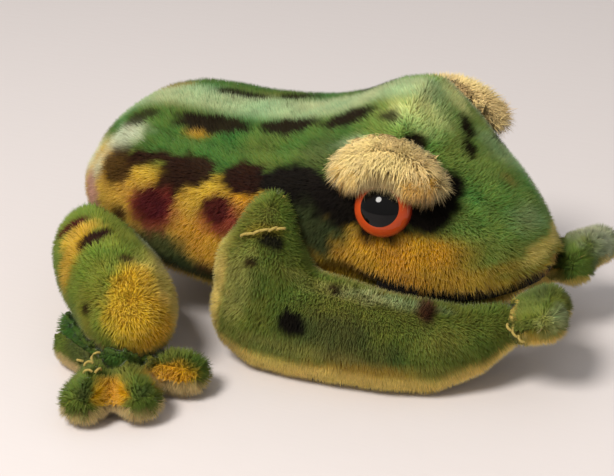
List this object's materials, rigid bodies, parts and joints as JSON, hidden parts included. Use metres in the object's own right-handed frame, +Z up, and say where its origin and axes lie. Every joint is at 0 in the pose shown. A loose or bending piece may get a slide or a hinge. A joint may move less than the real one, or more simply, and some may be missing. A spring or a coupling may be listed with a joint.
{
  "type": "plush frog",
  "caption": "Stuffed mohair plush frog with glass eyes, sewn-on arms and legs and long-pile brows, sitting with its arms folded in front of the chin.",
  "frame": {"origin": "on the table, under the middle of the overall box", "axes": "+X the way the frog faces, +Y the frog's left, +Z up"},
  "size_m": [0.1899, 0.2274, 0.091],
  "materials": {
    "mohair_green": "mohair plush, airbrushed",
    "mohair_gold": "mohair plush, airbrushed",
    "mohair_cream": "mohair plush",
    "mohair_long": "long mohair plush",
    "stuffing": "loose fibre",
    "felt_brown": "felt",
    "glass_orange": "polished, painted behind",
    "glass_black": "polished",
    "wire": "drawn"
  },
  "bodies": {
    "body": {"back_panel": "mohair_green", "right_side_panel": "mohair_gold", "left_side_panel": "mohair_gold", "belly_panel": "mohair_cream", "body_stuffing": "stuffing", "mouth_felt": "felt_brown", "right_eyelid": "mohair_long", "left_eyelid": "mohair_long", "right_eye_glass": "glass_orange", "left_eye_glass": "glass_orange", "right_eye_pupil": "glass_black", "left_eye_pupil": "glass_black", "right_eye_shank": "wire", "left_eye_shank": "wire"},
    "right_arm": {"right_arm": "mohair_green"},
    "right_hand": {"right_hand_back": "mohair_green", "right_hand_palm": "mohair_cream"},
    "right_leg": {"right_thigh": "mohair_green", "right_shin": "mohair_green", "right_foot_upper": "mohair_green", "right_foot_sole": "mohair_cream"},
    "left_arm": {"left_arm": "mohair_green"},
    "left_hand": {"left_hand_back": "mohair_green", "left_hand_palm": "mohair_cream"},
    "left_leg": {"left_thigh": "mohair_green", "left_shin": "mohair_green", "left_foot_upper": "mohair_green", "left_foot_sole": "mohair_cream"}
  },
  "joints": [
    {"name": "right_shoulder", "type": "hinge", "parent": "body", "child": "right_arm", "pos_m": [-0.0225, -0.0434, 0.038], "axis": [0, 0, -1], "range_deg": [0, 18], "stiffness_Nm_per_rad": 0.05},
    {"name": "right_hip", "type": "hinge", "parent": "body", "child": "right_leg", "pos_m": [-0.088, -0.0245, 0.025], "axis": [0, 0, -1], "range_deg": [0, 20], "stiffness_Nm_per_rad": 0.05},
    {"name": "right_wrist", "type": "hinge", "parent": "right_arm", "child": "right_hand", "pos_m": [0.0693, -0.029, 0.02], "axis": [-0.6209, 0.7839, 0], "range_deg": [0, 20], "stiffness_Nm_per_rad": 0.01},
    {"name": "left_shoulder", "type": "hinge", "parent": "body", "child": "left_arm", "pos_m": [-0.0225, 0.0434, 0.038], "axis": [0, 0, 1], "range_deg": [0, 18], "stiffness_Nm_per_rad": 0.05},
    {"name": "left_hip", "type": "hinge", "parent": "body", "child": "left_leg", "pos_m": [-0.088, 0.0245, 0.025], "axis": [0, 0, 1], "range_deg": [0, 20], "stiffness_Nm_per_rad": 0.05},
    {"name": "left_wrist", "type": "hinge", "parent": "left_arm", "child": "left_hand", "pos_m": [0.0693, 0.029, 0.02], "axis": [0.6209, 0.7839, 0], "range_deg": [0, 20], "stiffness_Nm_per_rad": 0.01}
  ]
}
